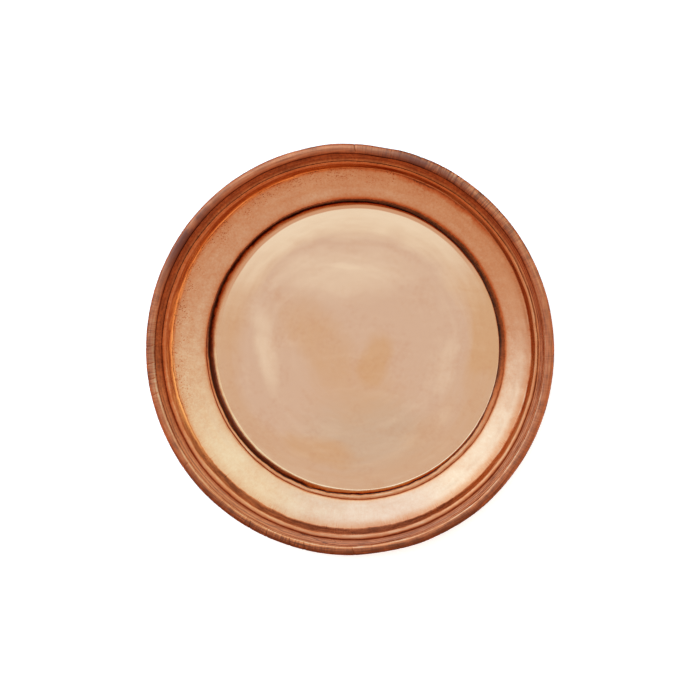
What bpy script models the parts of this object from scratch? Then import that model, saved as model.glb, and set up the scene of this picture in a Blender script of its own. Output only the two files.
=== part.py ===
"""A round hammered copper tray: one sheet of copper with a sunk well, a sloping flange and a moulded rim,
whose outer edge is rolled over a ring of steel wire.

The frame has its origin under the middle of the well, on the surface that the tray stands on, with +Z up.
All lengths are in metres.
"""

import math

import bmesh
import bpy
from mathutils import Vector

# Overall sizes.
TRAY_RADIUS = 0.150
TRAY_HEIGHT = 0.027
SHEET = 0.0009

# The wired edge.
WIRE_RADIUS = 0.0025
WIRE_CLEARANCE = 0.0004
WIRE_BUTT_GAP = 0.001
ROLL_START_DEG = 155.0
ROLL_END_DEG = -140.0

# Widths of the mouldings, counted inwards from the rolled edge. The well takes the radius that is left.
CHANNEL_WIDTH = 0.0040
SHOULDER_WIDTH = 0.0031
RIM_WALL_WIDTH = 0.0031
FLANGE_WIDTH = 0.0206
RING_WIDTH = 0.0028
WELL_WALL_WIDTH = 0.0030

# Heights of the mouldings. The flange takes the height that is left.
CHANNEL_DEPTH = 0.0042
CHANNEL_RISE = 0.0003
SHOULDER_RISE = 0.0010
RIM_WALL_HEIGHT = 0.0044
RING_DROP = 0.0005
WELL_DEPTH = 0.0062
FLANGE_SAG = 0.0006

# The well was set out by hand, a little off the rim's centre, towards +X.
WELL_OFFSET = 0.0020

# Bends, by the radius on their inner side.
TIGHT_BEND = 0.0005
SOFT_BEND = 0.0012

# Fineness of the turned shapes.
TURN_STEPS = 88
BEND_STEP_DEG = 32.0
ROLL_STEP_DEG = 25.0
FLANGE_STEPS = 4
WIRE_RESOLUTION = 4

COPPER = (0.86, 0.50, 0.30, 1.0)
STEEL = (0.34, 0.32, 0.30, 1.0)


def clear_scene():
    for obj in list(bpy.data.objects):
        bpy.data.objects.remove(obj, do_unlink=True)


def metal(name, color, roughness):
    material = bpy.data.materials.new(name)
    material.use_nodes = True
    shader = material.node_tree.nodes["Principled BSDF"]
    shader.inputs["Base Color"].default_value = color
    shader.inputs["Metallic"].default_value = 1.0
    shader.inputs["Roughness"].default_value = roughness
    return material


def roll_radius():
    """Radius of the rolled edge, on the outside of the sheet."""
    return WIRE_RADIUS + WIRE_CLEARANCE + SHEET


def roll_centre():
    """(radius, height) of the wire's centreline."""
    return Vector((TRAY_RADIUS - roll_radius(), TRAY_HEIGHT - roll_radius()))


def on_roll(angle_deg):
    angle = math.radians(angle_deg)
    return roll_centre() + roll_radius() * Vector((math.cos(angle), math.sin(angle)))


def bend(before, corner, after, inner_radius):
    """Points of the arc that rounds a corner of the sheet's upper side."""
    to_before = (before - corner).normalized()
    to_after = (after - corner).normalized()
    turns_down = to_before.x * to_after.y - to_before.y * to_after.x > 0
    radius = inner_radius + (SHEET if turns_down else 0.0)
    half_angle = to_before.angle(to_after) / 2
    turn = math.pi - 2 * half_angle
    longest = 0.5 * min((before - corner).length, (after - corner).length)
    radius = min(radius, longest * math.tan(half_angle))
    centre = corner + (to_before + to_after).normalized() * radius / math.sin(half_angle)
    start = corner + to_before * radius / math.tan(half_angle) - centre
    steps = max(1, round(math.degrees(turn) / BEND_STEP_DEG))
    sense = -1 if turns_down else 1
    points = []
    for step in range(steps + 1):
        angle = sense * turn * step / steps
        cosine, sine = math.cos(angle), math.sin(angle)
        points.append(centre + Vector((start.x * cosine - start.y * sine, start.x * sine + start.y * cosine)))
    return points


def sagging(start, end, sag, steps):
    """Points between two corners on a line that hangs below them, ends left out."""
    points = []
    for step in range(1, steps):
        share = step / steps
        point = start.lerp(end, share)
        point.y -= sag * 4 * share * (1 - share)
        points.append(point)
    return points


def upper_profile():
    """(radius, height) of the sheet's upper side, from the middle of the well to the cut edge inside the roll."""
    roll_inside = TRAY_RADIUS - 2 * roll_radius()
    crease = Vector((roll_inside - CHANNEL_WIDTH, TRAY_HEIGHT - CHANNEL_DEPTH))
    shoulder = Vector((crease.x - SHOULDER_WIDTH / 2, crease.y + SHOULDER_RISE))
    wall_top = Vector((crease.x - SHOULDER_WIDTH, crease.y + SHOULDER_RISE / 2))
    flange_top = Vector((wall_top.x - RIM_WALL_WIDTH, wall_top.y - RIM_WALL_HEIGHT))
    ring_top_height = SHEET + WELL_DEPTH
    flange_foot = Vector((flange_top.x - FLANGE_WIDTH, ring_top_height - RING_DROP))
    ring_outer = Vector((flange_foot.x - RING_WIDTH / 3, ring_top_height))
    ring_inner = Vector((flange_foot.x - RING_WIDTH, ring_top_height - RING_DROP))
    well_edge = Vector((ring_inner.x - WELL_WALL_WIDTH, SHEET))
    roll_start = on_roll(ROLL_START_DEG)
    start_angle = math.radians(ROLL_START_DEG)
    rising = Vector((math.sin(start_angle), -math.cos(start_angle)))
    foot_height = crease.y + CHANNEL_RISE
    roll_foot = roll_start - rising * (roll_start.y - foot_height) / rising.y

    points = [Vector((0.0, SHEET))]
    points += bend(points[0], well_edge, ring_inner, SOFT_BEND)
    points += bend(well_edge, ring_inner, ring_outer, TIGHT_BEND)
    points += bend(ring_inner, ring_outer, flange_foot, TIGHT_BEND)
    points += [flange_foot]
    points += sagging(flange_foot, flange_top, FLANGE_SAG, FLANGE_STEPS)
    points += [flange_top]
    points += bend(flange_top, wall_top, shoulder, TIGHT_BEND)
    points += bend(wall_top, shoulder, crease, TIGHT_BEND)
    points += [crease]
    points += bend(crease, roll_foot, roll_start, TIGHT_BEND)
    roll_steps = math.ceil((ROLL_START_DEG - ROLL_END_DEG) / ROLL_STEP_DEG)
    for step in range(roll_steps + 1):
        share = step / roll_steps
        points.append(on_roll(ROLL_START_DEG + share * (ROLL_END_DEG - ROLL_START_DEG)))
    return points, flange_foot.x, flange_top.x


def turned_surface(name, points):
    """An open surface turned round Z from (radius, height) points, as a mesh object."""
    mesh = bpy.data.meshes.new(name)
    shape = bmesh.new()
    verts = [shape.verts.new((point.x, 0.0, point.y)) for point in points]
    for first, second in zip(verts, verts[1:]):
        shape.edges.new((first, second))
    shape.to_mesh(mesh)
    shape.free()
    obj = bpy.data.objects.new(name, mesh)
    bpy.context.scene.collection.objects.link(obj)
    screw = obj.modifiers.new("turn", "SCREW")
    screw.axis = "Z"
    screw.steps = TURN_STEPS
    screw.render_steps = TURN_STEPS
    screw.use_merge_vertices = True
    screw.merge_threshold = 0.00001
    screw.use_normal_calculate = False
    bpy.context.view_layer.update()
    graph = bpy.context.evaluated_depsgraph_get()
    turned = bpy.data.meshes.new_from_object(obj.evaluated_get(graph))
    obj.modifiers.clear()
    obj.data = turned
    bpy.data.meshes.remove(mesh)
    return obj


def shift_well(mesh, inner_radius, outer_radius):
    """Moves the well off centre, and lets the flange take up the difference."""
    for vertex in mesh.vertices:
        radius = math.hypot(vertex.co.x, vertex.co.y)
        share = (outer_radius - radius) / (outer_radius - inner_radius)
        vertex.co.x += WELL_OFFSET * min(1.0, max(0.0, share))


def make_tray_sheet(collection, material):
    points, flange_foot_radius, flange_top_radius = upper_profile()
    obj = turned_surface("tray_sheet", points)
    shift_well(obj.data, flange_foot_radius, flange_top_radius)
    faces_down = sum(face.normal.z * face.area for face in obj.data.polygons) < 0
    if faces_down:
        obj.data.flip_normals()
    solidify = obj.modifiers.new("sheet", "SOLIDIFY")
    solidify.thickness = SHEET
    solidify.offset = -1.0
    solidify.use_even_offset = True
    obj.data.materials.append(material)
    obj.data.shade_smooth()
    obj.data.set_sharp_from_angle(angle=math.radians(50))
    bpy.context.scene.collection.objects.unlink(obj)
    collection.objects.link(obj)
    return obj


def make_rim_wire(collection, material):
    """The wire ring, whose two cut ends meet with a small gap."""
    centre = roll_centre()
    curve = bpy.data.curves.new("rim_wire", "CURVE")
    curve.dimensions = "3D"
    curve.bevel_depth = WIRE_RADIUS
    curve.bevel_resolution = WIRE_RESOLUTION
    curve.use_fill_caps = True
    curve.twist_mode = "Z_UP"
    spline = curve.splines.new("POLY")
    spline.points.add(TURN_STEPS)
    gap_angle = WIRE_BUTT_GAP / centre.x
    for step, point in enumerate(spline.points):
        angle = 2 * math.pi * step / TURN_STEPS
        angle = min(max(angle, gap_angle / 2), 2 * math.pi - gap_angle / 2)
        point.co = (centre.x * math.cos(angle), centre.x * math.sin(angle), centre.y, 1.0)
    curve.materials.append(material)
    obj = bpy.data.objects.new("rim_wire", curve)
    collection.objects.link(obj)
    return obj


def main():
    clear_scene()
    collection = bpy.data.collections.new("hammered_copper_tray")
    bpy.context.scene.collection.children.link(collection)
    make_tray_sheet(collection, metal("copper", COPPER, 0.28))
    make_rim_wire(collection, metal("steel_wire", STEEL, 0.45))


if __name__ == "__main__":
    main()
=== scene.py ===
"""A round hammered copper tray, modelled on its CAD frame: body, rolled edge, rim wire, finishes and stage.

Lengths are in metres. The tray lies with its well down on the floor, with +Z up.
"""

import math

import bpy
from mathutils import Matrix, Vector, noise


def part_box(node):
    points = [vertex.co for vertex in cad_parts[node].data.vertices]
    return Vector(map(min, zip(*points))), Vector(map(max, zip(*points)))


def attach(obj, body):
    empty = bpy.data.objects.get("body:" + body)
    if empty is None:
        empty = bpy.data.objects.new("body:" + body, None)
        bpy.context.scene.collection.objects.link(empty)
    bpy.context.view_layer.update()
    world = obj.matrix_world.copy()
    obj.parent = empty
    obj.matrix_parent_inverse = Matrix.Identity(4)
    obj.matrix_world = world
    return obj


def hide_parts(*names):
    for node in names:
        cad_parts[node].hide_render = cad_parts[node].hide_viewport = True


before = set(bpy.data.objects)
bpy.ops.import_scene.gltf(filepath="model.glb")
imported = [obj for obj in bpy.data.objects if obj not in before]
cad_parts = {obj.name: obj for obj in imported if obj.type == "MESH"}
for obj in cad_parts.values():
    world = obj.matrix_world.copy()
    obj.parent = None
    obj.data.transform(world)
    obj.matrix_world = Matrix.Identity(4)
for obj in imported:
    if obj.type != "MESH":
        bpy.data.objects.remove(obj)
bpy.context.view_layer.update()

bl_info = {
    "name": "Hammered Copper Tray",
    "version": (1, 0, 0),
    "blender": (4, 5, 0),
    "location": "View3D > Sidebar > Copper Tray",
    "description": "Builds a round hammered copper tray with a sunk well, a moulded rim and a wired edge",
    "category": "Add Mesh",
}

MM = 0.001
SHEET_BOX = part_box("tray_sheet")
OUTER_RADIUS = SHEET_BOX[1][0]
RIM_TOP = SHEET_BOX[1][2]


# ---------------------------------------------------------------------------
# Small helpers
# ---------------------------------------------------------------------------


def between(knots, x):
    """The value at x on a line drawn through (x, value) knots."""
    if x <= knots[0][0]:
        return knots[0][1]
    for (x0, v0), (x1, v1) in zip(knots, knots[1:]):
        if x <= x1:
            return v0 + (v1 - v0) * (x - x0) / (x1 - x0)
    return knots[-1][1]


def smooth(x):
    x = min(1.0, max(0.0, x))
    return x * x * (3 - 2 * x)


def hump(x, middle, half_width):
    """1 in the middle, 0 beyond half_width, smooth between."""
    return smooth(1 - abs(x - middle) / half_width)


def turn_apart(a, b):
    """The smallest angle between two bearings, in degrees."""
    return abs((a - b + 180) % 360 - 180)


def round_noise(bearing, waves, seed):
    """Smooth noise round the circle, about waves ups and downs a turn, from -1 to 1."""
    reach = waves / (2 * math.pi)
    spot = Vector((reach * math.cos(bearing), reach * math.sin(bearing), seed * 7.3))
    return noise.noise(spot)


def flat_noise(x, y, cell, seed):
    """Smooth noise over the plane with ups and downs about cell across, from -1 to 1."""
    return noise.noise(Vector((x / cell, y / cell, seed * 5.1)))


def start_clean():
    if bpy.context.object and bpy.context.object.mode != "OBJECT":
        bpy.ops.object.mode_set(mode="OBJECT")
    bpy.ops.object.select_all(action="DESELECT")


def rounded(corners, step_deg=14.0):
    """(radius, height) points through corners of (radius, height, rounding radius)."""
    points = [Vector(corners[0][:2])]
    for (x0, y0, _), (x1, y1, bend), (x2, y2, _) in zip(corners, corners[1:], corners[2:]):
        before, corner, after = Vector((x0, y0)), Vector((x1, y1)), Vector((x2, y2))
        if bend <= 0:
            points.append(corner)
            continue
        to_before = (before - corner).normalized()
        to_after = (after - corner).normalized()
        half = to_before.angle(to_after) / 2
        longest = 0.49 * min((before - corner).length, (after - corner).length)
        bend = min(bend, longest * math.tan(half))
        centre = corner + (to_before + to_after).normalized() * bend / math.sin(half)
        start = corner + to_before * bend / math.tan(half) - centre
        turn = math.pi - 2 * half
        sense = -1 if to_before.cross(to_after) > 0 else 1
        steps = max(1, round(math.degrees(turn) / step_deg))
        for step in range(steps + 1):
            angle = sense * turn * step / steps
            cosine, sine = math.cos(angle), math.sin(angle)
            arm = Vector((start.x * cosine - start.y * sine, start.x * sine + start.y * cosine))
            points.append(centre + arm)
    points.append(Vector(corners[-1][:2]))
    return points


def filled_in(points, longest):
    """The same line with points added so that no gap is longer than longest."""
    result = [points[0]]
    for first, second in zip(points, points[1:]):
        pieces = max(1, math.ceil((second - first).length / longest))
        for piece in range(1, pieces + 1):
            result.append(first.lerp(second, piece / pieces))
    return result


def ring_by_ring(points):
    """Extrudes the selected ring of edges through (radius, height) points, in edit mode."""
    for first, second in zip(points, points[1:]):
        bpy.ops.mesh.extrude_edges_move(TRANSFORM_OT_translate={"value": (0, 0, second.y - first.y)})
        scale = second.x / first.x
        bpy.ops.transform.resize(value=(scale, scale, 1), center_override=(0, 0, 0))


def place_applied(obj):
    bpy.ops.object.select_all(action="DESELECT")
    obj.select_set(True)
    bpy.context.view_layer.objects.active = obj
    bpy.ops.object.transform_apply(location=True, rotation=True, scale=True)


def store(obj, name, values):
    layer = obj.data.attributes.new(name, "FLOAT", "POINT")
    layer.data.foreach_set("value", values)


# ---------------------------------------------------------------------------
# Finishes
# ---------------------------------------------------------------------------


# The radii between which the patina and painted shade of the rings are given, in millimetres.
RINGS_SPAN = (96.0, 146.0)

# Where a patch starts and ends its fade, as shares of its half width.
PATCH_FADE = (0.35, 1.15)

# How strongly the colour tints what the metal mirrors at a grazing angle.
GRAZING_TINT = 1.7


class Nodes:
    """Adds nodes to a tree, one call at a time."""

    def __init__(self, tree):
        self.tree = tree

    def node(self, kind, **settings):
        made = self.tree.nodes.new(kind)
        for key, value in settings.items():
            setattr(made, key, value)
        return made

    def put(self, socket, value):
        """Links a socket, or sets a plain value."""
        if isinstance(value, bpy.types.NodeSocket):
            self.tree.links.new(value, socket)
        else:
            socket.default_value = value

    def math(self, operation, a, b=0.0, c=0.0, clamp=False):
        made = self.node("ShaderNodeMath", operation=operation, use_clamp=clamp)
        for socket, value in zip(made.inputs, (a, b, c)):
            self.put(socket, value)
        return made.outputs[0]

    def times(self, a, b):
        return self.math("MULTIPLY", a, b)

    def vector(self, operation, a, b=None, scale=None):
        made = self.node("ShaderNodeVectorMath", operation=operation)
        self.put(made.inputs[0], a)
        if b is not None:
            self.put(made.inputs[1], b)
        if scale is not None:
            self.put(made.inputs["Scale"], scale)
        return made.outputs["Value" if operation in ("LENGTH", "DOT_PRODUCT", "DISTANCE") else "Vector"]

    def noise(self, where, scale, detail=2.0, roughness=0.5, distortion=0.0):
        made = self.node("ShaderNodeTexNoise")
        self.put(made.inputs["Vector"], where)
        made.inputs["Scale"].default_value = scale
        made.inputs["Detail"].default_value = detail
        made.inputs["Roughness"].default_value = roughness
        made.inputs["Distortion"].default_value = distortion
        return made.outputs["Fac"]

    def spread(self, value, low, high, to_low=0.0, to_high=1.0):
        """Stretches low..high to to_low..to_high, smoothly and clamped."""
        made = self.node("ShaderNodeMapRange", interpolation_type="SMOOTHSTEP")
        self.put(made.inputs["Value"], value)
        for name, number in zip(("From Min", "From Max", "To Min", "To Max"), (low, high, to_low, to_high)):
            made.inputs[name].default_value = number
        return made.outputs["Result"]


class Finish(Nodes):
    """A material made from nodes."""

    def __init__(self, name):
        self.material = bpy.data.materials.new(name)
        self.material.use_nodes = True
        super().__init__(self.material.node_tree)
        self.shader = self.tree.nodes["Principled BSDF"]
        self.place = self.node("ShaderNodeTexCoord").outputs["Object"]

    def band(self, value, rise_from, rise_to, fall_from, fall_to, beyond=0.0):
        """0 up to rise_from, 1 from rise_to to fall_from, and beyond from fall_to on."""
        rise = self.spread(value, rise_from, rise_to)
        return self.times(rise, self.spread(value, fall_from, fall_to, 1.0, beyond))

    def mix(self, amount, first, second, blend="MIX"):
        made = self.node("ShaderNodeMix", data_type="RGBA", blend_type=blend)
        self.put(made.inputs["Factor"], amount)
        self.put(made.inputs["A"], first)
        self.put(made.inputs["B"], second)
        return made.outputs["Result"]

    def tinted(self, amount, color, tint):
        """The colour multiplied by a tint, by an amount from 0 to 1."""
        return self.mix(amount, color, self.mix(1.0, color, color4(tint), "MULTIPLY"))

    def node_value(self, color):
        """One number from a colour."""
        parts = self.node("ShaderNodeSeparateColor")
        self.put(parts.inputs[0], color)
        return parts.outputs[0]

    def attribute(self, name):
        return self.node("ShaderNodeAttribute", attribute_name=name).outputs["Fac"]

    def ramp(self, value, stops):
        made = self.node("ShaderNodeValToRGB")
        self.put(made.inputs["Fac"], value)
        elements = made.color_ramp.elements
        while len(elements) > 1:
            elements.remove(elements[-1])
        elements[0].position, elements[0].color = stops[0]
        for position, color in stops[1:]:
            elements.new(position).color = color
        return made.outputs["Color"]

    def polar(self, around, across):
        """Coordinates round the tray: so many units a radian around, so many a metre across the rings."""
        flat = self.vector("MULTIPLY", self.place, (1.0, 1.0, 0.0))
        way = self.vector("SCALE", self.vector("NORMALIZE", flat), scale=around)
        rise = self.node("ShaderNodeCombineXYZ")
        self.put(rise.inputs["Z"], self.times(self.attribute("ring"), across * MM))
        return self.vector("ADD", way, rise.outputs[0])

    def facing(self, bearing, low, high):
        """1 on the side of the tray that lies at a bearing, 0 on the other, fading between two cosines."""
        flat = self.vector("NORMALIZE", self.vector("MULTIPLY", self.place, (1.0, 1.0, 0.0)))
        angle = math.radians(bearing)
        cosine = self.vector("DOT_PRODUCT", flat, (math.cos(angle), math.sin(angle), 0.0))
        return self.spread(cosine, low, high)

    def by_ring(self, ring, knots):
        """A value read off (radius, value) knots in millimetres."""
        first, last = RINGS_SPAN
        width = last - first
        share = self.math("MULTIPLY_ADD", ring, 1.0 / width, -first / width)
        return self.ramp(share, [((at - first) / width, (value, value, value, 1.0)) for at, value in knots])

    def patch(self, where, x, y, half_x, half_y, turn=0.0):
        """1 inside an oval patch, in millimetres, fading to 0 at its edge."""
        spot = self.node("ShaderNodeMapping", vector_type="TEXTURE")
        self.put(spot.inputs["Vector"], where)
        spot.inputs["Location"].default_value = (x * MM, y * MM, 0.0)
        spot.inputs["Rotation"].default_value = (0.0, 0.0, math.radians(turn))
        spot.inputs["Scale"].default_value = (half_x * MM, half_y * MM, 1.0)
        return self.spread(self.vector("LENGTH", spot.outputs["Vector"]), *PATCH_FADE, 1.0, 0.0)

    def shifted(self, value, amount, base):
        """base plus amount times how far a noise value is from its middle."""
        return self.math("MULTIPLY_ADD", self.math("SUBTRACT", value, 0.5), amount, base)

    def finish(self, color, roughness, bumps):
        """Sets the shader. bumps is a list of (height, strength, distance)."""
        self.put(self.shader.inputs["Base Color"], color)
        self.put(self.shader.inputs["Roughness"], roughness)
        self.shader.inputs["Metallic"].default_value = 1.0
        self.put(self.shader.inputs["Specular Tint"], self.vector("SCALE", color, scale=GRAZING_TINT))
        normal = None
        for height, strength, distance in bumps:
            bump = self.node("ShaderNodeBump")
            bump.inputs["Strength"].default_value = strength
            bump.inputs["Distance"].default_value = distance
            self.put(bump.inputs["Height"], height)
            if normal is not None:
                self.put(bump.inputs["Normal"], normal)
            normal = bump.outputs["Normal"]
        if normal is not None:
            self.put(self.shader.inputs["Normal"], normal)
        return self.material


def color4(color):
    return (color[0], color[1], color[2], 1.0)


def patina_ramp(finish, amount, look):
    """Bright copper at 0, through deep and red copper and brown, to black in the creases at 1."""
    return finish.ramp(
        amount,
        (
            (0.0, color4(look.bright_copper)),
            (0.25, color4(look.deep_copper)),
            (0.5, color4(look.red_copper)),
            (0.75, color4(look.brown_patina)),
            (1.0, color4(look.black_patina_and_shade)),
        ),
    )


# Patches of painted reflection on the floor, as (x, y, half width, half length, turn in degrees, strength).
# Lengths here and in the tables below are in millimetres.
PALE_PATCHES = (
    (-64.0, 3.0, 11.0, 34.0, 4.0, 0.45),
    (-8.0, 58.0, 66.0, 24.0, 0.0, 0.45),
    (-4.0, 60.0, 24.0, 6.0, 0.0, 0.62),
    (76.0, -14.0, 8.0, 40.0, -8.0, 0.2),
)
# Patches of warm painted reflection on the floor.
WARM_PATCHES = (
    (19.0, -10.0, 15.0, 27.0, -4.0, 1.0),
    (-17.0, -3.0, 24.0, 56.0, 35.0, 0.62),
    (6.0, -26.0, 40.0, 30.0, 0.0, 0.4),
    (-26.0, -74.0, 40.0, 14.0, -16.0, 0.85),
    (60.0, -60.0, 44.0, 16.0, 45.0, 0.4),
)


def with_patches(f, base, where, patches):
    """A value, raised to the strength of each patch inside that patch."""
    for x, y, half_x, half_y, turn, strength in patches:
        inside = f.patch(where, x, y, half_x, half_y, turn)
        base = f.math("MAXIMUM", base, f.times(inside, strength))
    return base


def floor_polish_and_reflections(f, color, look):
    """The well's floor: warm and pale patches, a pale crescent and a golden edge that are painted
    reflections, a painted shade on one patch and at the brim, and arcs left by the polishing cloth.
    """
    ring = f.attribute("ring")
    warp = f.node("ShaderNodeTexNoise")
    f.put(warp.inputs["Vector"], f.place)
    warp.inputs["Scale"].default_value = 20.0
    warp.inputs["Detail"].default_value = 3.0
    off_middle = f.vector("SUBTRACT", warp.outputs["Color"], (0.5, 0.5, 0.5))
    where = f.vector("ADD", f.place, f.vector("SCALE", off_middle, scale=30.0 * MM))
    clouds = f.noise(f.place, 16.0, 3.0, 0.5, 0.6)
    arcs = f.noise(f.polar(1.5, 90.0), 1.0, 4.0, 0.55)
    away_from_middle = f.spread(ring, 30.0, 62.0)
    arcs = f.math("MULTIPLY_ADD", f.math("SUBTRACT", arcs, 0.5), away_from_middle, 0.5)
    wiped = f.noise(f.vector("MULTIPLY", where, (18.0, 110.0, 1.0)), 1.0, 3.0, 0.5)
    drifting = f.shifted(clouds, 22.0, f.shifted(arcs, 14.0, ring))

    # Painted reflection: a pale crescent along the top of the floor.
    reflected_crescent = f.times(f.spread(drifting, 76.0, 98.0), f.facing(92.0, 0.15, 0.95))
    pale = with_patches(f, f.times(reflected_crescent, 0.93), where, PALE_PATCHES)
    pale = f.shifted(arcs, 0.7, f.shifted(wiped, 0.4, pale))
    pale = f.math("MAXIMUM", pale, 0.0, clamp=True)

    outside = f.spread(drifting, 80.0, 93.0)
    warm = f.times(outside, f.math("MULTIPLY_ADD", f.facing(110.0, -0.7, 0.3), 0.15, 0.5))
    # Painted reflection: a golden edge on the +X side of the floor.
    golden_edge_reflection = f.times(f.spread(drifting, 87.0, 93.0), f.facing(12.0, 0.86, 0.97))
    warm = with_patches(f, f.math("MAXIMUM", warm, golden_edge_reflection), where, WARM_PATCHES)
    smears = f.noise(f.polar(4.0, 420.0), 1.0, 5.0, 0.65)
    warm = f.shifted(smears, 0.7, f.shifted(clouds, 0.6, warm))
    warm = f.shifted(arcs, -0.3, warm)
    warm = f.math("MAXIMUM", warm, 0.0, clamp=True)

    color = f.mix(1.0, color, color4(look.cool_cloud), "MULTIPLY")
    gold = f.mix(1.0, color, color4(look.warm_cloud), "MULTIPLY")
    # Painted shade: a grey patch towards the bottom of the floor.
    shaded_patch = f.patch(where, 12.0, -62.0, 58.0, 34.0)
    color = f.tinted(f.times(shaded_patch, 0.7), color, look.grey_cloud)
    color = f.mix(warm, color, gold)
    color = f.mix(pale, color, color4(look.pale_cloud))
    # Painted shade: deep copper along the floor's edge on the top side.
    shaded_brim = f.times(f.spread(f.shifted(clouds, 1.2, ring), 102.3, 103.3), f.facing(96.0, 0.2, 0.7))
    color = f.mix(f.times(shaded_brim, 0.88), color, color4(look.deep_copper))
    return color, f.math("SUBTRACT", clouds, 0.5), arcs


# Short cracks in the channel, as (ring, bearing, half length, slant from the ring's own direction).
CRACK_HALF_WIDTH = 0.34
CRACKS = (
    (141.2, -96.5, 3.2, -5.0),
    (139.9, -99.5, 4.0, -7.0),
    (138.7, -103.0, 5.5, -3.0),
)

# How much patina each ring carries, as (radius, patina), on the side where the rings stand out: patina in
# the creases, and the black line at 107.45 to 107.95, a painted dark reflection in the step's wall.
CLEAR_RINGS = (
    (104.0, 0.0),
    (105.7, 0.08),
    (106.2, 0.3),
    (106.8, 0.34),
    (107.2, 0.6),
    (107.45, 1.0),
    (107.95, 1.0),
    (108.3, 0.42),
    (109.0, 0.2),
    (110.0, 0.3),
    (110.6, 0.78),
    (111.0, 0.45),
    (112.0, 0.16),
    (115.0, 0.08),
    (126.0, 0.07),
    (129.5, 0.13),
    (131.2, 0.2),
    (131.7, 0.6),
    (132.1, 0.72),
    (134.5, 0.66),
    (135.1, 0.36),
    (136.8, 0.32),
    (137.5, 0.5),
    (137.9, 0.85),
    (138.3, 0.6),
    (139.0, 0.46),
    (139.5, 0.72),
    (139.8, 0.5),
    (140.5, 0.52),
    (140.9, 0.85),
    (141.3, 0.54),
    (143.0, 0.5),
)

# The same on the side where they run together under a broad red-brown shade.
VEILED_RINGS = (
    (104.0, 0.0),
    (105.7, 0.08),
    (106.3, 0.28),
    (106.8, 0.5),
    (107.2, 0.95),
    (107.5, 1.0),
    (108.6, 1.0),
    (109.4, 0.78),
    (110.5, 0.68),
    (111.3, 0.4),
    (112.4, 0.2),
    (115.0, 0.12),
    (120.0, 0.1),
    (127.0, 0.11),
    (129.8, 0.18),
    (131.0, 0.4),
    (131.5, 0.7),
    (131.9, 0.4),
    (132.6, 0.34),
    (133.2, 0.6),
    (134.0, 0.47),
    (135.2, 0.43),
    (136.4, 0.52),
    (137.2, 0.62),
    (137.7, 0.78),
    (138.1, 0.7),
    (139.0, 0.68),
    (140.6, 0.7),
    (143.0, 0.66),
)


def flange_pits(f, ring):
    """Dark pits along the outer edge of the flange, on one side of the tray."""
    pits = f.node("ShaderNodeTexVoronoi")
    f.put(pits.inputs["Vector"], f.place)
    pits.inputs["Scale"].default_value = 950.0
    dots = f.spread(pits.outputs["Distance"], 0.2, 0.5, 1.0, 0.0)
    chosen = f.spread(f.node_value(pits.outputs["Color"]), 0.35, 0.8)
    near_edge = f.band(ring, 117.0, 131.0, 132.0, 133.0)
    clusters = f.spread(f.noise(f.place, 90.0, 3.0), 0.32, 0.62)
    pitted = f.times(f.times(f.times(dots, chosen), near_edge), clusters)
    return f.times(pitted, f.facing(128.0, 0.1, 0.75))


def flange_scratches(f, ring):
    """Short scratches that fray the outer edge of the flange."""
    scratches = f.spread(f.noise(f.polar(330.0, 110.0), 1.0, 2.0, 0.5), 0.62, 0.72)
    return f.times(scratches, f.band(ring, 125.0, 131.5, 131.6, 133.0))


def flange_shading(f, ring, loose):
    """Marks on the outer half of the flange: a broad painted shade on one side and a smudge on another."""
    shaded_edge = f.times(f.facing(-50.0, 0.4, 0.95), f.spread(ring, 124.0, 130.5))
    smudge = f.times(f.facing(56.0, 0.93, 0.99), f.spread(f.shifted(loose, 8.0, ring), 127.0, 130.0))
    marks = f.math("MULTIPLY_ADD", smudge, 0.24, f.times(shaded_edge, 0.15))
    return f.times(marks, f.spread(ring, 131.4, 132.4, 1.0, 0.0))


def channel_cracks(f, nervous):
    """The cracks of CRACKS, with a ragged line."""
    kink = f.node("ShaderNodeCombineXYZ")
    f.put(kink.inputs["Y"], f.shifted(nervous, 1.1 * MM, 0.0))
    jagged = f.vector("ADD", f.vector("MULTIPLY", f.place, (1.0, 1.0, 0.0)), kink.outputs[0])
    cracked = 0.0
    for at, bearing, half_length, slant in CRACKS:
        angle = math.radians(bearing)
        x, y = at * math.cos(angle), at * math.sin(angle)
        crack = f.patch(jagged, x, y, half_length, CRACK_HALF_WIDTH, bearing + 90.0 + slant)
        cracked = f.math("MAXIMUM", cracked, crack)
    return cracked


def wall_reflection(f, ring, wandering, streaks):
    """Painted reflection on the rim wall on the side at a bearing of 148 degrees: a bright line at its
    foot, and streaks above.
    """
    line = f.band(wandering, 131.6, 132.1, 132.5, 133.0)
    on_wall = f.band(ring, 130.2, 131.4, 133.8, 135.0)
    reflected = f.math("MAXIMUM", line, f.times(f.times(on_wall, 0.6), f.spread(streaks, 0.42, 0.62)))
    return f.times(reflected, f.facing(148.0, 0.2, 0.85))


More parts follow.
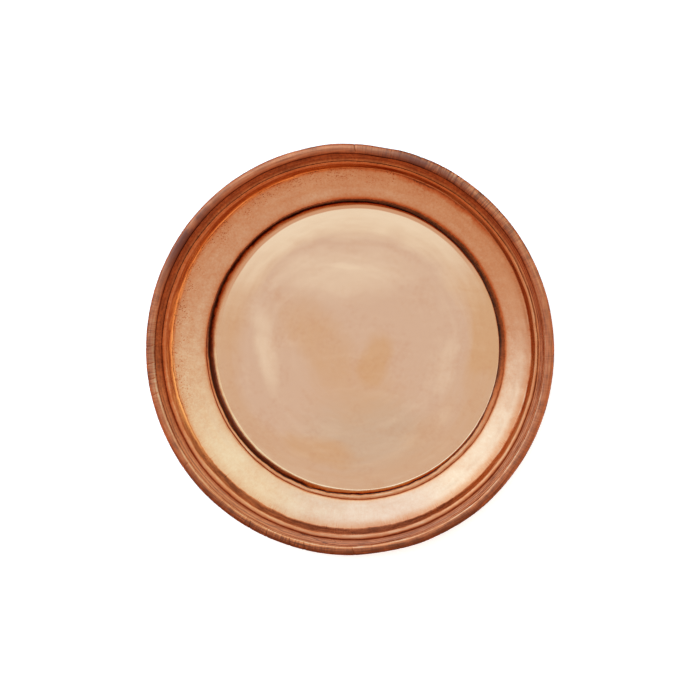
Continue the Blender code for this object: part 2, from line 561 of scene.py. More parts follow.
def upper_copper(look):
    """The tray's upper side: clouded polish with painted reflections and shade in the well, brushed flange,
    patina with painted light and shade in the mouldings.
    """
    f = Finish("polished_copper")
    ring = f.attribute("ring")

    # Textures.
    loose = f.noise(f.place, 75.0, 3.0, 0.6)
    nervous = f.noise(f.place, 320.0, 3.0, 0.6)
    blotches = f.noise(f.place, 42.0, 4.0, 0.55, 0.3)
    grime = f.noise(f.place, 300.0, 5.0, 0.7)
    grain = f.noise(f.place, 620.0, 3.0, 0.75)
    brushing = f.noise(f.polar(230.0, 60.0), 1.0, 3.0, 0.6)
    streaks = f.noise(f.polar(9.0, 950.0), 1.0, 4.0, 0.65)
    hammer = f.noise(f.place, 75.0, 1.0, 0.4)

    # Which part of the tray this is.
    on_floor = f.spread(ring, 104.8, 106.2, 1.0, 0.0)
    off_floor = f.math("SUBTRACT", 1.0, on_floor)
    moulded = f.math("MAXIMUM", f.spread(ring, 131.2, 132.6), f.spread(ring, 111.0, 112.6, 1.0, 0.0))
    moulded = f.math("MINIMUM", moulded, f.spread(ring, 105.4, 106.6))
    crest = f.band(ring, 108.6, 109.6, 111.0, 113.6)
    inner_veil = f.facing(86.0, -0.6, 0.22)
    outer_veil = f.facing(118.0, -0.3, 0.5)
    veiled_side = f.node_value(f.mix(f.spread(ring, 114.0, 124.0), inner_veil, outer_veil))

    # Patina of the rings, with painted shade: the black line on the step, and the change from the clear to
    # the veiled table from side to side.
    wandering = f.shifted(nervous, 0.55, f.shifted(loose, 1.5, ring))
    clear = f.by_ring(wandering, CLEAR_RINGS)
    veiled = f.by_ring(wandering, VEILED_RINGS)
    patina_and_shading = f.node_value(f.mix(veiled_side, clear, veiled))
    depth = f.shifted(grime, 0.2, f.shifted(blotches, 0.2, patina_and_shading))
    mottling = f.times(f.math("SUBTRACT", grain, 0.5), f.math("MULTIPLY_ADD", veiled_side, 0.3, 0.14))
    depth = f.math("MULTIPLY_ADD", mottling, off_floor, depth)
    depth = f.shifted(brushing, 0.07, depth)
    lively = f.times(moulded, f.math("MULTIPLY_ADD", veiled_side, -0.35, 0.7))
    depth = f.math("ADD", depth, f.times(f.math("SUBTRACT", streaks, 0.5), lively))
    depth = f.math("MINIMUM", depth, f.math("MAXIMUM", patina_and_shading, 0.78))

    # Marks and dirt, with painted shade on the step, the flange's edge and the ring's crest, and painted
    # light on the rim wall.
    # Painted shade: a darker band with a grimy texture on the step, on one side.
    painted_step_shade = f.times(f.band(ring, 105.8, 106.5, 107.2, 107.8), f.facing(-150.0, 0.6, 0.98))
    depth = f.math("MULTIPLY_ADD", painted_step_shade, f.times(grime, 0.8), depth)
    pitted = flange_pits(f, ring)
    scratched = f.times(flange_scratches(f, ring), 0.3)
    depth = f.math("ADD", depth, f.math("MAXIMUM", f.times(pitted, 0.65), scratched))
    depth = f.math("ADD", depth, flange_shading(f, ring, loose))
    shaded_crest = f.times(crest, f.facing(50.0, 0.6, 0.98))
    depth = f.math("MULTIPLY_ADD", shaded_crest, 0.16, depth, clamp=True)
    depth = f.math("MULTIPLY_ADD", channel_cracks(f, nervous), 0.4, depth)
    # Painted light: the rim wall is painted lighter on the +X side.
    lit_wall = f.times(f.band(ring, 130.8, 131.6, 134.4, 135.4), f.facing(10.0, 0.35, 0.9))
    depth = f.math("MULTIPLY_ADD", lit_wall, -0.3, depth, clamp=True)

    # Colour.
    color = patina_ramp(f, depth, look)
    # Painted reflection: bright orange on the rim wall on one side.
    color = f.mix(wall_reflection(f, ring, wandering, streaks), color, color4(look.wall_reflection_orange))
    # Duller copper over the channel's outer edge, fading out towards the veiled side.
    dulled_channel_edge = f.math("SUBTRACT", 0.2, f.times(veiled_side, 0.2))
    color = f.mix(f.times(f.spread(ring, 138.4, 139.4), dulled_channel_edge), color, color4(look.dull_edge))
    outer_shade = f.times(f.band(ring, 134.8, 136.6, 138.6, 140.6, 0.55), veiled_side)
    inner_shade = f.times(crest, f.facing(50.0, 0.3, 0.9))
    color = f.tinted(f.math("MAXIMUM", outer_shade, inner_shade), color, look.red_shade)
    # A pink tint over the inner edge of the flange on the -Y side.
    pink_tinted_stretch = f.times(f.facing(-86.0, 0.8, 0.99), f.spread(ring, 111.0, 114.0))
    color = f.tinted(pink_tinted_stretch, color, look.pink_tint)
    # The painted shade on the step is tinted purple.
    color = f.mix(f.times(painted_step_shade, 0.75), color, color4(look.purple_tarnish_and_shade))
    clouded, clouds, arcs = floor_polish_and_reflections(f, color, look)
    color = f.mix(on_floor, color, clouded)

    # Gloss.
    glossier = look.floor_roughness - look.flange_roughness
    rough = f.math("MULTIPLY_ADD", on_floor, glossier, look.flange_roughness)
    rough = f.shifted(blotches, 0.16, rough)
    rough = f.math("MULTIPLY_ADD", f.times(clouds, on_floor), 0.2, rough)
    rough = f.math("MULTIPLY_ADD", moulded, -0.05, rough, clamp=True)
    return f.finish(
        color,
        rough,
        [
            (hammer, 0.35, 0.0006),
            (f.times(brushing, off_floor), 0.1, 0.0002),
            (f.times(streaks, lively), 0.7, 0.0004),
            (f.times(pitted, -1.0), 0.6, 0.0004),
            (arcs, 0.05, 0.0002),
            (grime, 0.04, 0.0002),
        ],
    )


def rim_copper(look):
    """The rolled edge: darker copper with radial hammer marks, purple tarnish, black splits, and light and
    shade painted into its patina.
    """
    f = Finish("rolled_edge_copper")
    patina_and_shading = f.attribute("patina_and_shading")
    split = f.attribute("split")
    worked = f.attribute("worked")
    tarnished = f.attribute("tarnished")
    hatch = f.noise(f.polar(128.0, 60.0), 1.0, 3.0, 0.65)
    strokes = f.spread(f.noise(f.polar(190.0, 90.0), 1.0, 2.0, 0.6), 0.54, 0.64)
    along = f.noise(f.polar(9.0, 1000.0), 1.0, 4.0, 0.65)
    blotches = f.noise(f.place, 110.0, 4.0, 0.6)
    uneven = f.math("MULTIPLY_ADD", worked, 1.5, 0.14)
    depth = f.math("ADD", patina_and_shading, f.times(f.math("SUBTRACT", hatch, 0.5), uneven))
    depth = f.shifted(blotches, 0.36, f.shifted(along, 1.0, depth))
    depth = f.math("ADD", depth, f.times(f.times(strokes, worked), 0.4))
    depth = f.math("MAXIMUM", f.math("MINIMUM", depth, 0.86), split, clamp=True)
    color = patina_ramp(f, depth, look)
    # Duller copper over the roll, least on the bottom side, which is kept brighter as painted light.
    brighter_side = f.facing(-93.0, 0.35, 0.85)
    dulled = f.math("MULTIPLY_ADD", brighter_side, -0.7 * look.edge_dullness, look.edge_dullness)
    dulled = f.times(f.math("SUBTRACT", 1.0, split), dulled)
    color = f.mix(dulled, color, color4(look.dull_edge))
    cloudy = f.spread(f.noise(f.place, 60.0, 3.0, 0.6), 0.2, 0.5)
    color = f.mix(f.times(tarnished, cloudy), color, color4(look.purple_tarnish_and_shade))
    rough = f.shifted(blotches, 0.2, look.rim_roughness)
    return f.finish(color, rough, [(hatch, 0.35, 0.0005), (strokes, -0.4, 0.0003), (along, 0.35, 0.0002)])


def under_copper(look):
    """The underside: unpolished, brown, with the hammer's marks left in it."""
    f = Finish("underside_copper")
    cells = f.node("ShaderNodeTexVoronoi", feature="SMOOTH_F1")
    f.put(cells.inputs["Vector"], f.place)
    cells.inputs["Scale"].default_value = 95.0
    cells.inputs["Smoothness"].default_value = 0.6
    marks = cells.outputs["Distance"]
    clouds = f.noise(f.place, 24.0, 5.0, 0.6, 0.5)
    specks = f.noise(f.place, 420.0, 4.0, 0.7)
    depth = f.math("MULTIPLY_ADD", clouds, 0.7, 0.08)
    depth = f.math("MULTIPLY_ADD", f.math("SUBTRACT", specks, 0.5), 0.3, depth)
    depth = f.math("MULTIPLY_ADD", f.math("SUBTRACT", marks, 0.3), -0.25, depth, clamp=True)
    color = patina_ramp(f, depth, look)
    rough = f.math("MULTIPLY_ADD", clouds, 0.25, 0.28, clamp=True)
    return f.finish(color, rough, [(marks, 0.6, 0.0012), (specks, 0.12, 0.0002)])


def wire_steel(look):
    """The wire ring: drawn steel, dulled, with specks of rust."""
    f = Finish("dull_steel_wire")
    rust = f.spread(f.noise(f.place, 190.0, 5.0, 0.7), 0.52, 0.66)
    scale = f.noise(f.place, 700.0, 3.0, 0.6)
    color = f.mix(rust, color4(look.steel), color4(look.rust))
    rough = f.math("MULTIPLY_ADD", rust, 0.3, 0.38, clamp=True)
    return f.finish(color, rough, [(scale, 0.2, 0.0001)])


# ---------------------------------------------------------------------------
# Settings
# ---------------------------------------------------------------------------


def length(name, description, default):
    return bpy.props.FloatProperty(
        name=name,
        description=description,
        default=default,
        min=0.0,
        precision=5,
        unit="LENGTH",
        subtype="DISTANCE",
    )


def position(name, default):
    return bpy.props.FloatProperty(name=name, description="Point looked at", default=default, unit="LENGTH")


def lean(name, degrees):
    return bpy.props.FloatProperty(
        name=name, description="How far the view leans", default=math.radians(degrees), subtype="ANGLE"
    )


def fraction(name, description, default):
    return bpy.props.FloatProperty(name=name, description=description, default=default, min=0.0, max=1.0)


def step_count(description, default):
    return bpy.props.IntProperty(name="Segments", description=description, default=default, min=64)


def shade(name, description, default):
    return bpy.props.FloatVectorProperty(
        name=name, description=description, default=default, size=3, min=0.0, max=1.0, subtype="COLOR"
    )


class CopperTrayBody(bpy.types.PropertyGroup):
    sheet: length("Sheet", "Thickness of the copper", 0.9 * MM)
    floor_radius: length("Floor radius", "Flat floor of the well", 105.4 * MM)
    ring_radius: length("Ring radius", "Crest of the small ring between well and flange", 109.6 * MM)
    well_depth: length("Well depth", "Height of the ring's crest above the floor", 6.2 * MM)
    flange_radius: length("Flange radius", "Outer edge of the flange, below the rim wall", 132.2 * MM)
    crease_radius: length("Crease radius", "Crease between shoulder and channel", 138.0 * MM)
    hammer_depth: length("Hammer depth", "How deep the hammer marks in the flange are", 0.16 * MM)
    wobble: length("Wobble", "How far the hand-set rings wander", 0.32 * MM)
    segments: step_count("Steps round the tray", 720)


class CopperTrayEdge(bpy.types.PropertyGroup):
    roll_radius: length("Roll radius", "Outside radius of the rolled edge in section", 3.75 * MM)
    sheet: length("Sheet", "Thickness of the copper", 0.9 * MM)
    wobble: length("Wobble", "How far the outline wanders", 0.2 * MM)
    dent_depth: length("Dent depth", "How deep the hammer's facets on the roll are", 0.12 * MM)
    segments: step_count("Steps round the edge", 2160)


class CopperTrayLook(bpy.types.PropertyGroup):
    bright_copper: shade("Bright copper", "Polished copper", (0.55, 0.345, 0.215))
    deep_copper: shade("Deep copper", "Copper dulled by handling", (0.47, 0.205, 0.098))
    red_copper: shade("Red copper", "Oxide red on the mouldings", (0.42, 0.11, 0.036))
    brown_patina: shade("Brown patina", "Tarnish on the mouldings", (0.19, 0.047, 0.018))
    # black_patina_and_shade is the black of the creases and splits, and of the painted black line on the
    # step and the painted shade inside the roll.
    black_patina_and_shade: shade("Black patina", "Tarnish and dirt in the creases", (0.034, 0.013, 0.008))
    # wall_reflection_orange is the colour of the painted reflection on the rim wall.
    wall_reflection_orange: shade("Rubbed copper", "Orange copper where a cloth rubs the rim wall", (0.8, 0.32, 0.1))
    red_shade: shade("Red shade", "Tint of the mouldings where they run together", (0.9, 0.64, 0.46))
    # pink_tint tints the inner edge of the flange on one side.
    pink_tint: shade("Pink bloom", "Tint of the duller stretch of the flange", (0.9, 0.88, 0.94))
    # purple_tarnish_and_shade colours the tarnish on the rolled edge and the painted shade on the step.
    purple_tarnish_and_shade: shade("Purple tarnish", "Dark bloom on the edge and the step", (0.12, 0.042, 0.032))
    # dull_edge is the duller copper mixed over the roll and the channel's outer edge, least on the bottom
    # side.
    dull_edge: shade("Dull edge", "Copper of the rolled edge where hands wear it", (0.27, 0.14, 0.095))
    # The cloud tints colour the well's floor: the warm and pale clouds are partly polish and partly painted
    # reflections, and the grey cloud is a painted shade.
    warm_cloud: shade("Warm cloud", "Tint of the golden clouds in the polish", (0.97, 0.86, 0.68))
    cool_cloud: shade("Cool cloud", "Tint of the well's copper", (0.97, 0.98, 1.05))
    grey_cloud: shade("Grey cloud", "Tint of the duller side of the well", (0.9, 0.95, 0.93))
    pale_cloud: shade("Pale cloud", "Cream clouds in the polish", (0.68, 0.505, 0.345))
    steel: shade("Steel", "Wire", (0.3, 0.29, 0.28))
    rust: shade("Rust", "Specks on the wire", (0.16, 0.07, 0.035))
    floor_roughness: fraction("Floor roughness", "Gloss of the well", 0.2)
    flange_roughness: fraction("Flange roughness", "Gloss of the flange", 0.34)
    rim_roughness: fraction("Rim roughness", "Gloss of the rolled edge", 0.34)
    edge_dullness: fraction("Edge dullness", "How far the rolled edge is dulled by hands", 0.3)


class CopperTrayStage(bpy.types.PropertyGroup):
    distance: length("Camera distance", "From the camera to the middle of the rim", 1.2)
    view_width: length("View width", "Width of the picture at the rim", 0.5079)
    aim_x: position("Aim X", 2.45 * MM)
    aim_y: position("Aim Y", 0.45 * MM)
    lean_x: lean("Lean to +X", 7.5)
    lean_y: lean("Lean to +Y", 2.4)
    floor_shade: shade("Floor", "Paper under the tray", (0.93, 0.93, 0.93))


# ---------------------------------------------------------------------------
# Shapes
# ---------------------------------------------------------------------------

# Where the middle of each ring lies, as (radius, shift): the rings were set out by hand.
# Lengths in these tables are in millimetres and bearings in degrees.
SHIFT_X = (
    (96.0, 2.4),
    (105.4, 3.85),
    (107.8, 1.95),
    (110.8, 3.2),
    (132.0, 1.1),
    (138.0, 0.3),
    (142.0, -0.2),
    (150.0, 0.0),
)
SHIFT_Y = ((96.0, 1.2), (107.8, 1.0), (110.8, 0.0), (132.0, 0.9), (138.0, -0.2), (142.0, 0.4), (150.0, 0.0))

# Knocks in the outline, as (bearing, half width, outwards), and the most that they may push outwards.
KNOCKS = (
    (95.0, 9.0, 0.40),
    (80.0, 7.0, -0.55),
    (61.0, 8.0, 0.25),
    (-50.0, 12.0, 0.30),
    (-78.0, 12.0, -0.55),
    (-140.0, 14.0, 0.28),
)
OUTWARD_LIMIT = 0.5 * MM

# Splits across the rolled edge, as (bearing, share of the full depth, half width).
SPLIT_DEPTH = 0.25 * MM
SPLITS = (
    (-88.0, 0.95, 0.42),
    (-102.3, 1.0, 0.4),
    (-106.7, 1.0, 0.45),
    (-113.7, 0.95, 0.38),
    (-119.2, 1.0, 0.48),
    (-75.0, 0.7, 0.3),
    (-144.6, 0.85, 0.4),
    (-167.0, 0.8, 0.34),
    (-171.5, 0.85, 0.32),
    (-176.0, 0.8, 0.36),
    (-181.0, 0.85, 0.34),
    (87.5, 0.95, 0.4),
    (77.0, 0.8, 0.3),
    (68.5, 0.8, 0.3),
    (62.0, 0.85, 0.34),
    (55.0, 0.8, 0.3),
    (49.0, 0.6, 0.28),
)

# Stretches of the edge that the hammer left rough, and that tarnish darkened, as (bearing, half width,
# amount). The rest is a little rough too.
LEAST_WORKED = 0.06
WORKED = ((56.0, 44.0, 1.0), (-178.0, 24.0, 0.75), (-112.0, 30.0, 0.35), (-20.0, 44.0, 0.25))
TARNISHED = ((146.0, 24.0, 0.95), (68.0, 24.0, 0.85), (-180.0, 14.0, 0.3))

# Bearings of the side where the rings run together, of the side with the painted dark outer half, and of
# the stretch that is lighter.
VEILED_BEARING = 100.0
LOW_BEARING = -91.0
LIGHTER_BEARING = -176.0

# The floor's rings of points, as shares of its radius.
FLOOR_RINGS = (0.08, 0.2, 0.33, 0.46, 0.58, 0.69, 0.79, 0.88, 0.95)

# The longest gap between rings of points on the upper side, and the shortest underneath.
LONGEST_GAP = 1.0 * MM
SHORTEST_GAP = 1.1 * MM

# How uneven the floor and the mouldings are.
FLOOR_UNEVEN = 0.05 * MM
MOULDING_UNEVEN = 0.10 * MM

# The roll in section: how far it stays inside the outline and under the top, so that knocks and facets fit,
# where its sheet starts, how far it turns, and its steps on the outer and the inner face.
KNOCK_ROOM = 0.6 * MM
FACET_ROOM = 0.08 * MM
ROLL_START = 197.0
ROLL_TURN = 340.0
OUTER_STEPS = 30
INNER_STEPS = 9


def upper_corners(body):
    """Corners of the upper side from the floor outwards, as (radius, height, rounding) in millimetres."""
    top = RIM_TOP / MM
    floor = body.sheet / MM
    ring = body.ring_radius / MM
    crest = floor + body.well_depth / MM
    foot = ring + 1.4
    flange = body.flange_radius / MM
    crease = body.crease_radius / MM
    return (
        (body.floor_radius / MM - 2.0, floor, 0.0),
        (body.floor_radius / MM, floor, 1.4),
        (ring - 2.9, floor + 2.2, 1.5),
        (ring - 1.9, crest - 0.5, 0.5),
        (ring, crest + 0.15, 0.9),
        (foot, crest - 0.5, 0.35),
        (foot + 1.2, crest + 0.05, 1.0),
        (foot + 7.5, crest + 3.1, 12.0),
        (foot + 14.5, crest + 7.2, 12.0),
        (flange, top - 8.2, 0.4),
        (flange + 2.9, top - 4.0, 0.8),
        (flange + 4.5, top - 3.3, 1.2),
        (crease, top - 4.2, 0.3),
        (crease + 1.0, top - 4.0, 0.6),
        (crease + 2.5, top - 3.7, 1.2),
        (crease + 4.1, top - 2.5, 0.9),
        (crease + 4.75, top - 1.5, 0.0),
    )


def hand_set(x, y, z, body):
    """Moves a point of the turned sheet to where hand work left it."""
    radius = math.hypot(x, y)
    bearing = math.atan2(y, x)
    ring = radius / MM
    drift = 1.2 * round_noise(bearing, 9.0, 1.0 + ring / 45.0)
    drift += 0.8 * round_noise(bearing, 31.0, 4.0 + ring / 30.0)
    drift += 0.35 * round_noise(bearing, 95.0, 9.0 + ring / 16.0)
    loose = smooth((ring - 96.0) / 10.0) * smooth((144.5 - ring) / 4.0)
    radius += drift * body.wobble * loose

    on_floor = smooth((101.0 - ring) / 6.0) if radius > 1e-6 else 0.0
    on_flange = smooth((ring - 112.0) / 4.0) * smooth((134.0 - ring) / 4.0)
    on_mouldings = smooth((ring - 103.0) / 3.0) * smooth((144.0 - ring) / 3.0) * (1 - on_flange)
    blows = flat_noise(x, y, 9.5 * MM, 2.0) + 0.5 * flat_noise(x, y, 4.6 * MM, 3.0)
    lift = body.hammer_depth * blows * on_flange
    lift += MOULDING_UNEVEN * flat_noise(x, y, 5.5 * MM, 6.0) * on_mouldings
    lift += FLOOR_UNEVEN * flat_noise(x, y, 26.0 * MM, 8.0) * on_floor

    x = radius * math.cos(bearing) + between(SHIFT_X, ring) * MM
    y = radius * math.sin(bearing) + between(SHIFT_Y, ring) * MM
    return Vector((x, y, max(z + lift, SHEET_BOX[0][2])))


def offset_line(points, distance):
    """The line at a distance below a line of (radius, height) points that runs outwards."""
    result = []
    for index, point in enumerate(points):
        before = points[max(index - 1, 0)]
        after = points[min(index + 1, len(points) - 1)]
        along = (after - before).normalized()
        result.append(point + Vector((along.y, -along.x)) * distance)
    return result


def thinned(points, shortest):
    """The same line without points closer together than shortest, and always running outwards."""
    result = [points[0]]
    for point in points[1:-1]:
        if (point - result[-1]).length >= shortest and point.x > result[-1].x + 0.1 * MM:
            result.append(point)
    result.append(points[-1])
    return result


def along_edge(degrees, stretches):
    """The largest amount that any of the stretches gives at a bearing."""
    return max(amount * hump(turn_apart(degrees, at), 0.0, half) for at, half, amount in stretches)


def split_at(degrees, outward):
    """How deep the splits are at a bearing: 1 is the full depth. They fade out on the roll's inner side."""
    slanted = 0.35 * outward
    cut = max(depth * hump(turn_apart(degrees, at + slanted), 0.0, half) for at, depth, half in SPLITS)
    return cut * smooth((outward + 0.9) / 0.5)


def roll_patina_and_shading(degrees, outward, shown):
    """Patina and painted light and shade on the roll's outer face. outward runs from -1 on its inner side
    to 1 on its outer side.
    """
    veiled = math.cos(math.radians(degrees - VEILED_BEARING))
    clear = smooth(0.75 - veiled)
    low_side = smooth(math.cos(math.radians(degrees - LOW_BEARING)) * 2.0 - 0.7)

    # Painted shade where the roll turns under, and a painted dark reflection over the outer half of the low
    # side.
    dark = 0.54 + 0.2 * (1 - shown) + 0.06 * smooth(outward)
    dark += 0.24 * low_side * smooth((outward + 0.5) / 0.5)

    # A painted highlight line and a painted dark line on the inner half, on the clear side.
    dark -= 0.38 * hump(outward, -0.66, 0.13) * clear
    dark += 0.14 * hump(outward, -0.36, 0.16) * clear

    # Painted shade on the veiled side: a darker inner half and outermost line. Painted light opposite: a
    # lighter innermost line.
    dark += 0.03 * smooth(veiled + 0.1) * smooth(-outward / 0.5)
    dark += 0.22 * smooth(veiled + 0.2) * smooth((outward - 0.9) / 0.08)
    dark -= 0.25 * smooth(0.5 - veiled) * smooth((-outward - 0.75) / 0.15)

    # One stretch is lighter on its inner half.
    dark -= 0.28 * hump(turn_apart(degrees, LIGHTER_BEARING), 0.0, 28.0) * smooth(0.4 - outward)
    return min(1.0, dark)


def outline_shift(bearing, wobble):
    """How far the outline lies outside its circle at a bearing, from drift and knocks."""
    drift = round_noise(bearing, 11.0, 3.0) + 0.6 * round_noise(bearing, 34.0, 5.0)
    shift = drift * wobble
    for at, half, size in KNOCKS:
        shift += size * MM * hump(turn_apart(math.degrees(bearing), at), 0.0, half)
    return min(shift, OUTWARD_LIMIT)


class BuildTrayBody(bpy.types.Operator):
    """Builds the tray's body: well, ring, flange, rim wall, shoulder and channel"""

    bl_idname = "mesh.copper_tray_body"
    bl_label = "Tray Body"

    def execute(self, context):
        body = context.scene.copper_tray_body
        look = context.scene.copper_tray_look
        start_clean()
        corners = [(x * MM, y * MM, bend * MM) for x, y, bend in upper_corners(body)]
        line = filled_in(rounded(corners), LONGEST_GAP)
        floor = [Vector((part * line[0].x, body.sheet)) for part in FLOOR_RINGS]
        upper = floor + line
        lower = thinned(offset_line(line, body.sheet), SHORTEST_GAP)
        lower = [Vector((point.x, 0.0)) for point in floor] + lower

        bpy.ops.mesh.primitive_circle_add(
            vertices=body.segments, radius=upper[0].x, fill_type="TRIFAN", location=(0, 0, upper[0].y)
        )
        obj = context.object
        obj.name = "tray_body"
        bpy.ops.object.mode_set(mode="EDIT")
        bpy.ops.mesh.select_all(action="SELECT")
        bpy.ops.mesh.region_to_loop()
        ring_by_ring(upper + lower[::-1])
        bpy.ops.mesh.extrude_edges_move(TRANSFORM_OT_translate={"value": (0, 0, 0)})
        bpy.ops.mesh.merge(type="CENTER")
        bpy.ops.mesh.select_all(action="SELECT")
        bpy.ops.mesh.normals_make_consistent(inside=False)
        bpy.ops.object.mode_set(mode="OBJECT")
        place_applied(obj)

        knots = [(point.x, point.y - body.sheet / 2) for point in upper]
        rings, above = [], []
        for vertex in obj.data.vertices:
            ring = math.hypot(vertex.co.x, vertex.co.y)
            rings.append(ring / MM)
            above.append(vertex.co.z > between(knots, ring))
        store(obj, "ring", rings)
        obj.data.materials.append(upper_copper(look))
        obj.data.materials.append(under_copper(look))
        for face in obj.data.polygons:
            face.material_index = 0 if all(above[index] for index in face.vertices) else 1
        for vertex in obj.data.vertices:
            vertex.co = hand_set(*vertex.co, body)
        obj.data.shade_smooth()
        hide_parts("tray_sheet")
        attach(obj, "root")
        return {"FINISHED"}


class BuildRolledEdge(bpy.types.Operator):
    """Builds the rolled edge round the wire, with its dents and splits"""

    bl_idname = "mesh.copper_rolled_edge"
    bl_label = "Rolled Edge"

    def execute(self, context):
        edge = context.scene.copper_tray_edge
        look = context.scene.copper_tray_look
        start_clean()
        roll = edge.roll_radius
        middle = Vector((OUTER_RADIUS - KNOCK_ROOM - roll, RIM_TOP - roll - FACET_ROOM))

        def arc(start, turn, steps, radius):
            angles = [math.radians(start + turn * step / steps) for step in range(steps + 1)]
            return [middle + Vector((math.cos(angle), math.sin(angle))) * radius for angle in angles]

        outside = arc(ROLL_START, -ROLL_TURN, OUTER_STEPS, roll)
        inside = arc(ROLL_START - ROLL_TURN, ROLL_TURN, INNER_STEPS, roll - edge.sheet)
        line = outside + inside + outside[:1]

        bpy.ops.mesh.primitive_circle_add(
            vertices=edge.segments, radius=line[0].x, location=(0, 0, line[0].y)
        )
        obj = context.object
        obj.name = "rolled_edge"
        bpy.ops.object.mode_set(mode="EDIT")
        bpy.ops.mesh.select_all(action="SELECT")
        ring_by_ring(line)
        bpy.ops.mesh.select_all(action="SELECT")
        bpy.ops.mesh.remove_doubles(threshold=0.00001)
        bpy.ops.mesh.normals_make_consistent(inside=False)
        bpy.ops.object.mode_set(mode="OBJECT")
        place_applied(obj)

        marks = {"ring": [], "patina_and_shading": [], "split": [], "worked": [], "tarnished": []}
        for vertex in obj.data.vertices:
            x, y, z = vertex.co
            ring = math.hypot(x, y)
            bearing = math.atan2(y, x)
            degrees = math.degrees(bearing)
            across = Vector((ring, z)) - middle
            around = math.atan2(across.y, across.x)
            outward, upward = math.cos(around), math.sin(around)
            inner_face = across.length < roll - 0.3 * edge.sheet
            shown = smooth((upward + 0.7) / 0.5)
            above = smooth((upward + 0.1) / 0.4) * smooth((0.85 - outward) / 0.5)
            cut = split_at(degrees, outward)
            marks["ring"].append(ring / MM)
            # Inside the roll the sheet is painted black as shade.
            marks["patina_and_shading"].append(1.0 if inner_face else roll_patina_and_shading(degrees, outward, shown))
            marks["split"].append(0.0 if inner_face else cut)
            marks["worked"].append(max(LEAST_WORKED, along_edge(degrees, WORKED)))
            marks["tarnished"].append(along_edge(degrees, TARNISHED) * above)

            swell = 0.0
            if not inner_face:
                facets = round_noise(bearing, 110.0, 20.0 + math.degrees(around) / 60.0)
                swell = edge.dent_depth * min(0.3, facets) - SPLIT_DEPTH * cut
            spot = middle + across.normalized() * (across.length + swell * shown)
            ring = spot.x + outline_shift(bearing, edge.wobble)
            vertex.co = Vector((ring * math.cos(bearing), ring * math.sin(bearing), spot.y))
        for name, values in marks.items():
            store(obj, name, values)
        obj.data.materials.append(rim_copper(look))
        obj.data.shade_smooth()
        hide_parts("tray_sheet")
        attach(obj, "root")
        return {"FINISHED"}


class FinishRimWire(bpy.types.Operator):
    """Gives the wire ring inside the rolled edge its finish"""

    bl_idname = "object.copper_tray_wire"
    bl_label = "Rim Wire"

    def execute(self, context):
        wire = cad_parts["rim_wire"]
        steel = wire_steel(context.scene.copper_tray_look)
        for material_slot in wire.material_slots:
            material_slot.material = steel
        return {"FINISHED"}


# The sky: its light all round, and soft lights as (direction, cosine where it starts, colour).
SKY_ALL_ROUND = (1.1, 0.75, 0.54)
SKY_LIGHTS = (
    ((0.0, 0.0, 1.0), 0.5, (0.14, 0.51, 0.73)),
    ((-0.6, 0.7, 0.35), 0.5, (0.9, 2.05, 2.95)),
    ((0.6, 0.6, 0.5), 0.6, (0.5, 1.24, 1.45)),
)

# The paper under the tray: its size, how far it lies below, and its own glow.
PAPER_SIZE = 8.0
PAPER_DROP = 0.2 * MM
PAPER_GLOW = 0.3

# How far below the rim's top the view is aimed.
AIM_DROP = 3.8 * MM

# The camera's sensor is in millimetres.
SENSOR_WIDTH = 36.0


def stage_paper(stage):
    """Pale paper with a little glow of its own, so that it stays even."""
    paper = bpy.data.materials.new("stage_paper")
    paper.use_nodes = True
    shader = paper.node_tree.nodes["Principled BSDF"]
    shader.inputs["Base Color"].default_value = color4(stage.floor_shade)
    shader.inputs["Roughness"].default_value = 0.9
    shader.inputs["Emission Color"].default_value = color4(stage.floor_shade)
    shader.inputs["Emission Strength"].default_value = PAPER_GLOW
    shader.inputs["Specular IOR Level"].default_value = 0.1
    return paper


def soft_sky():
    """Light all round, brighter and cooler from a few sides."""
    world = bpy.data.worlds.new("soft_room")
    world.use_nodes = True
    sky = Nodes(world.node_tree)
    direction = sky.node("ShaderNodeTexCoord").outputs["Generated"]
    light = SKY_ALL_ROUND
    for way, from_cosine, color in SKY_LIGHTS:
        cosine = sky.vector("DOT_PRODUCT", direction, Vector(way).normalized())
        strength = sky.spread(cosine, from_cosine, 1.0)
        light = sky.vector("ADD", light, sky.vector("SCALE", color, scale=strength))
    background = sky.tree.nodes["Background"]
    sky.put(background.inputs["Color"], light)
    background.inputs["Strength"].default_value = 1.0
    return world


def view_camera(scene, stage):
    """A camera over the tray, leaning a little off the vertical."""
    data = bpy.data.cameras.new("camera")
    data.sensor_width = SENSOR_WIDTH
    data.lens = SENSOR_WIDTH * stage.distance / stage.view_width
    data.clip_end = 50.0
    camera = bpy.data.objects.new("camera", data)
    scene.collection.objects.link(camera)
    back = Vector((math.tan(stage.lean_x), math.tan(stage.lean_y), 1.0)).normalized()
    right = Vector((0.0, 1.0, 0.0)).cross(back).normalized()
    up = back.cross(right)
    target = Vector((stage.aim_x, stage.aim_y, RIM_TOP - AIM_DROP))
    turned = Matrix((right, up, back)).transposed().to_4x4()
    camera.matrix_world = Matrix.Translation(target + back * stage.distance) @ turned
    return camera


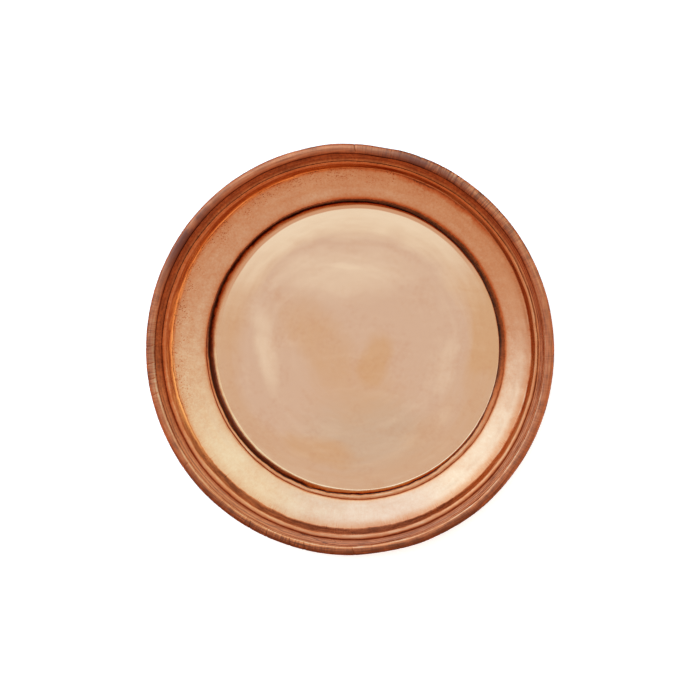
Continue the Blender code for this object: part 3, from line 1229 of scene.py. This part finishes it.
class SetStage(bpy.types.Operator):
    """Sets the pale floor, the soft light all round and the camera"""

    bl_idname = "scene.copper_tray_stage"
    bl_label = "Stage"

    def execute(self, context):
        stage = context.scene.copper_tray_stage
        start_clean()
        bpy.ops.mesh.primitive_plane_add(size=PAPER_SIZE, location=(0, 0, -PAPER_DROP))
        floor = context.object
        floor.name = "stage_floor"
        floor.data.materials.append(stage_paper(stage))
        context.scene.world = soft_sky()
        context.scene.camera = view_camera(context.scene, stage)
        context.scene.view_settings.view_transform = "Standard"
        return {"FINISHED"}


class CopperTrayPanel(bpy.types.Panel):
    """The tray's sizes, finishes and stage"""

    bl_idname = "VIEW3D_PT_copper_tray"
    bl_label = "Copper Tray"
    bl_space_type = "VIEW_3D"
    bl_region_type = "UI"
    bl_category = "Copper Tray"

    def draw(self, context):
        scene = context.scene
        groups = (
            (scene.copper_tray_body, BuildTrayBody),
            (scene.copper_tray_edge, BuildRolledEdge),
            (scene.copper_tray_look, FinishRimWire),
            (scene.copper_tray_stage, SetStage),
        )
        for settings, operator in groups:
            box = self.layout.box()
            for name in settings.__annotations__:
                box.prop(settings, name)
            box.operator(operator.bl_idname)


SETTINGS = (
    ("copper_tray_body", CopperTrayBody),
    ("copper_tray_edge", CopperTrayEdge),
    ("copper_tray_look", CopperTrayLook),
    ("copper_tray_stage", CopperTrayStage),
)
TOOLS = (BuildTrayBody, BuildRolledEdge, FinishRimWire, SetStage, CopperTrayPanel)


def register():
    for name, group in SETTINGS:
        bpy.utils.register_class(group)
        setattr(bpy.types.Scene, name, bpy.props.PointerProperty(type=group))
    for tool in TOOLS:
        bpy.utils.register_class(tool)


def unregister():
    for tool in reversed(TOOLS):
        bpy.utils.unregister_class(tool)
    for name, group in reversed(SETTINGS):
        delattr(bpy.types.Scene, name)
        bpy.utils.unregister_class(group)


def main():
    register()
    bpy.ops.mesh.copper_tray_body()
    bpy.ops.mesh.copper_rolled_edge()
    bpy.ops.object.copper_tray_wire()
    bpy.ops.scene.copper_tray_stage()


if __name__ == "__main__":
    main()
